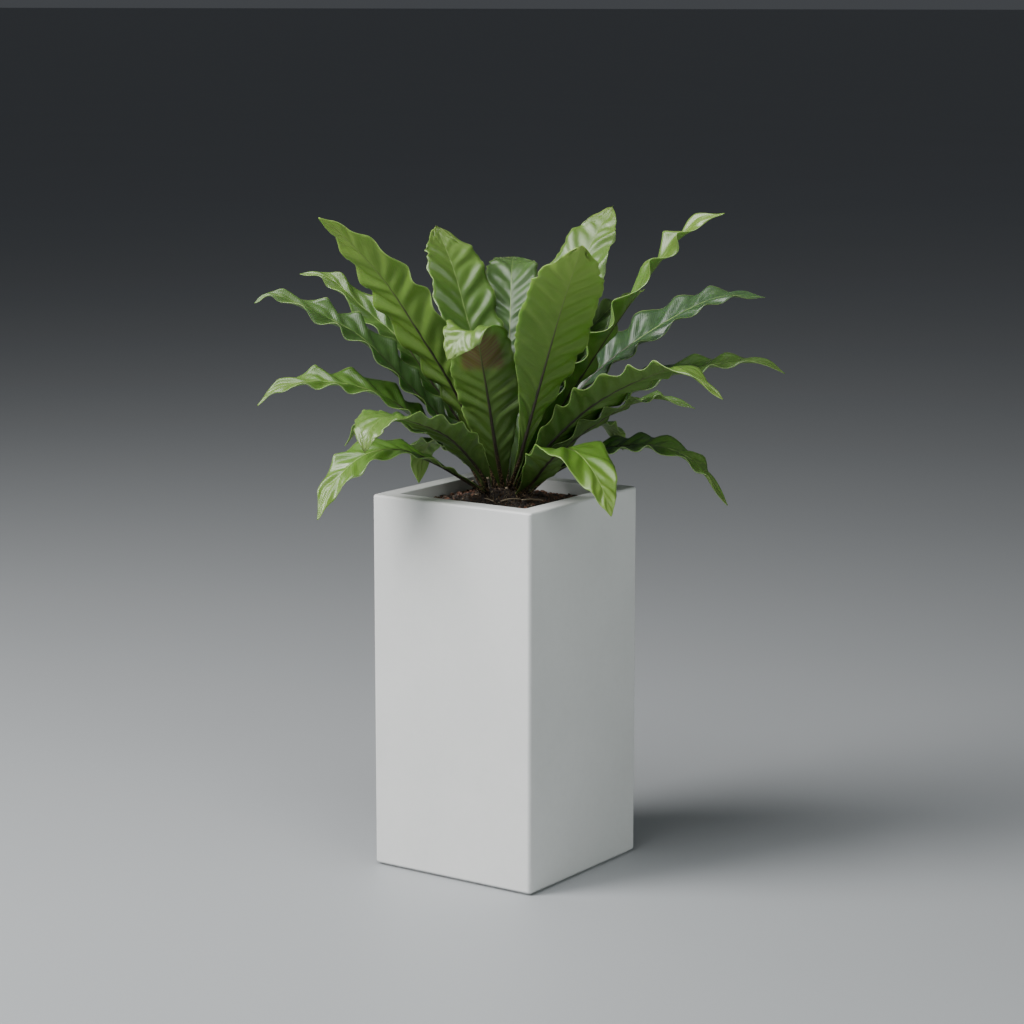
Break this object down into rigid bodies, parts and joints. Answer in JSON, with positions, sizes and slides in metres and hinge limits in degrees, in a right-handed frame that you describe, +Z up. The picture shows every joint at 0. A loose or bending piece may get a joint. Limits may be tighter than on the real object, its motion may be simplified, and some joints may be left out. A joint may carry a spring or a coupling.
{
  "type": "potted bird's nest fern",
  "caption": "Rosette of long wavy-edged fern fronds in a tall square planter, standing on the floor as a house plant.",
  "frame": {"origin": "centre of the planter's underside, on the floor", "axes": "+Z up along the planter, X and Y square to its sides"},
  "size_m": [0.7696, 0.6357, 1.047],
  "materials": {
    "planter": "smooth satin white",
    "clay": "rough fired clay pebbles",
    "soil": "loose dark potting soil",
    "crown": "dark scaly rootstock",
    "leaf": "waxy leaf, glossier on its upper side",
    "stalk": "dry cut stalk",
    "twig": "dry bark"
  },
  "bodies": {
    "root": {"planter": "planter", "drainage_layer": "clay", "potting_soil": "soil", "crown": "crown", "frond_left_tall": "leaf", "frond_left_upper": "leaf", "frond_left_inner": "leaf", "frond_left_middle": "leaf", "frond_left_low": "leaf", "frond_front_arching": "leaf", "frond_front_drooping": "leaf", "frond_back_left_hanging": "leaf", "frond_back_left_low": "leaf", "frond_back_tall": "leaf", "frond_back_centre": "leaf", "frond_centre_broad": "leaf", "frond_right_tall": "leaf", "frond_front_folded": "leaf", "frond_right_twisted": "leaf", "frond_right_hidden": "leaf", "frond_right_back": "leaf", "frond_right_far": "leaf", "frond_right_front": "leaf", "frond_right_lower": "leaf", "frond_right_drooping": "leaf", "frond_front_right": "leaf", "frond_back_arching": "leaf", "frond_back_middle": "leaf", "frond_back_low": "leaf", "frond_back_right_low": "leaf", "old_stalk_1": "stalk", "old_stalk_2": "stalk", "old_stalk_3": "stalk", "old_stalk_4": "stalk", "old_stalk_5": "stalk", "twig_1": "twig", "twig_2": "twig", "twig_3": "twig"}
  },
  "joints": []
}
